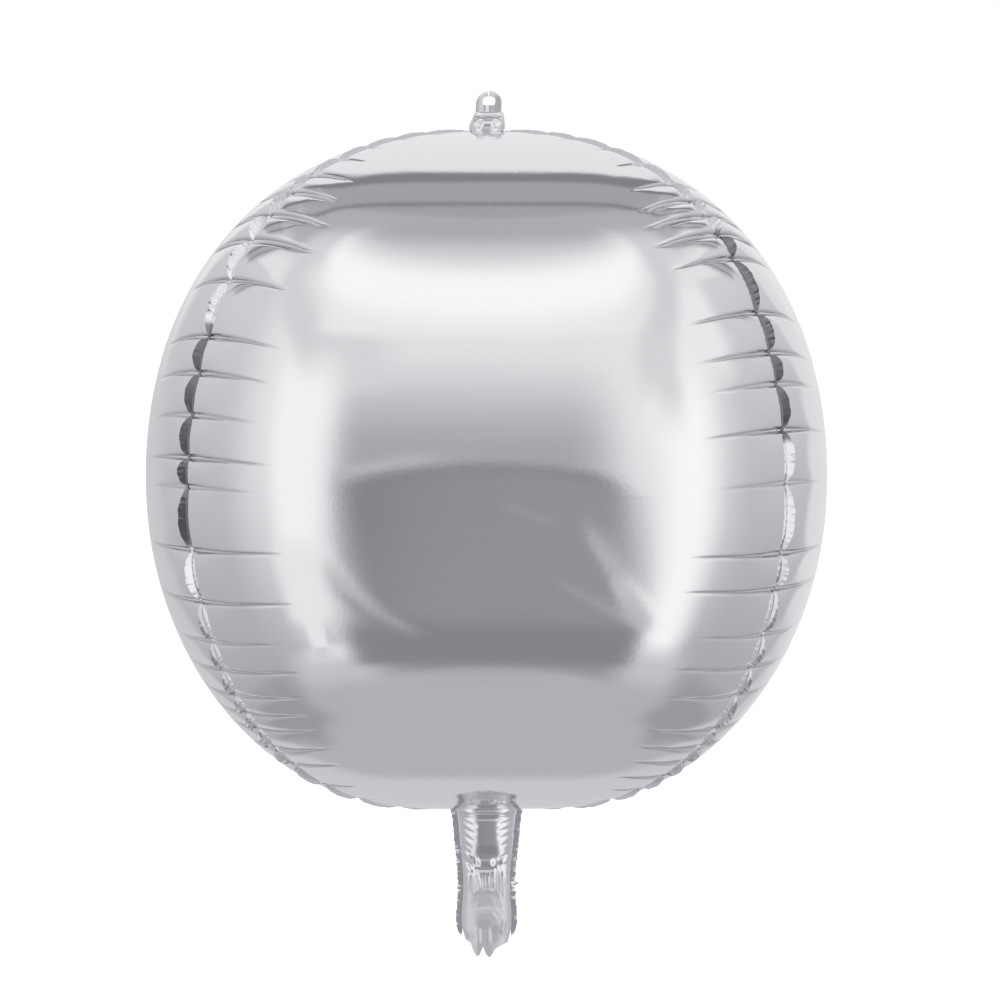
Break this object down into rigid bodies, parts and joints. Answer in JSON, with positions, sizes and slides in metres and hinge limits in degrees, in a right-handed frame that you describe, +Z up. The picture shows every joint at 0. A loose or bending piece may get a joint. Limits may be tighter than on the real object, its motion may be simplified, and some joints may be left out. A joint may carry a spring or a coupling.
{
  "type": "round foil balloon",
  "caption": "Round balloon of silver foil gores with gathered seams, a hanging tab on top and a flat filling neck below.",
  "frame": {"origin": "middle of the hole in the hanging tab", "axes": "+Z up, the front gore towards -Y, the neck hanging down along -Z"},
  "size_m": [0.4, 0.4, 0.534],
  "materials": {
    "silver_film": "metallised film, mirror-like and slightly blurred",
    "welded_film": "metallised film, flattened and dulled by the weld",
    "valve_film": "translucent film, satin"
  },
  "bodies": {
    "root": {"gore_front": "silver_film", "gore_right": "silver_film", "gore_back": "silver_film", "gore_left": "silver_film", "seam_front_left": "welded_film", "seam_front_right": "welded_film", "seam_back_right": "welded_film", "seam_back_left": "welded_film", "hanging_tab": "welded_film", "crown_pocket": "silver_film", "neck_front": "silver_film", "neck_back": "silver_film", "neck_seal_left": "welded_film", "neck_seal_right": "welded_film", "valve_sleeve": "valve_film"}
  },
  "joints": []
}
